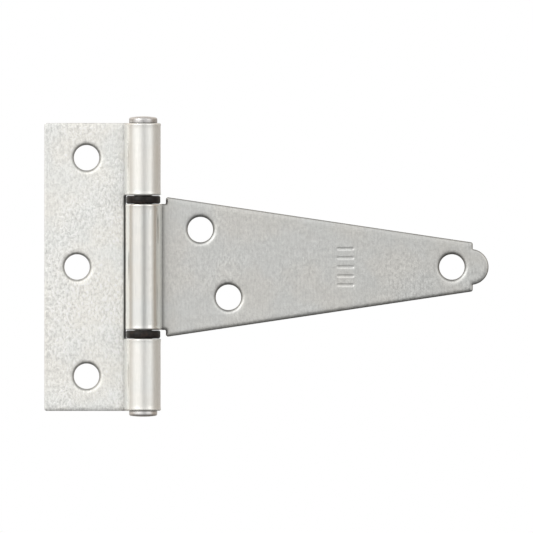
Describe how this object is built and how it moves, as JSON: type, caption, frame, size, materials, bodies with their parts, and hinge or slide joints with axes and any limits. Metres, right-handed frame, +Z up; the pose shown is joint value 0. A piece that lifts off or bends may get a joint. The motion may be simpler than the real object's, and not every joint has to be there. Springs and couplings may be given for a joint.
{
  "type": "t hinge",
  "caption": "Light T hinge for a gate, shed door or chest: rectangular butt leaf, tapered strap leaf, rolled knuckles, headed pin and a washer in each gap.",
  "frame": {"origin": "on the mounting plane of both leaves, straight behind the pin axis, at mid height of the centre knuckle", "axes": "+Z up along the pin, +X along the strap from the pin to its tip, +Y into the surface that the hinge is screwed to, so the front faces -Y"},
  "size_m": [0.098, 0.0077, 0.0664],
  "materials": {
    "butt_leaf_zinc": "satin",
    "strap_leaf_zinc": "satin",
    "pin_zinc": "satin",
    "washer_nylon": "satin"
  },
  "bodies": {
    "butt_side": {"butt_leaf": "butt_leaf_zinc", "hinge_pin": "pin_zinc"},
    "strap_side": {"strap_leaf": "strap_leaf_zinc"},
    "upper_washer": {"upper_washer": "washer_nylon"},
    "lower_washer": {"lower_washer": "washer_nylon"}
  },
  "joints": [
    {"name": "strap_swing", "type": "hinge", "parent": "butt_side", "child": "strap_side", "pos_m": [0, -0.00385, 0], "axis": [0, 0, -1], "range_deg": [-88, 188]},
    {"name": "upper_washer_turn", "type": "hinge", "parent": "butt_side", "child": "upper_washer", "pos_m": [0, -0.00385, 0.01482], "axis": [0, 0, 1], "continuous": true},
    {"name": "lower_washer_turn", "type": "hinge", "parent": "butt_side", "child": "lower_washer", "pos_m": [0, -0.00385, -0.01487], "axis": [0, 0, 1], "continuous": true}
  ]
}
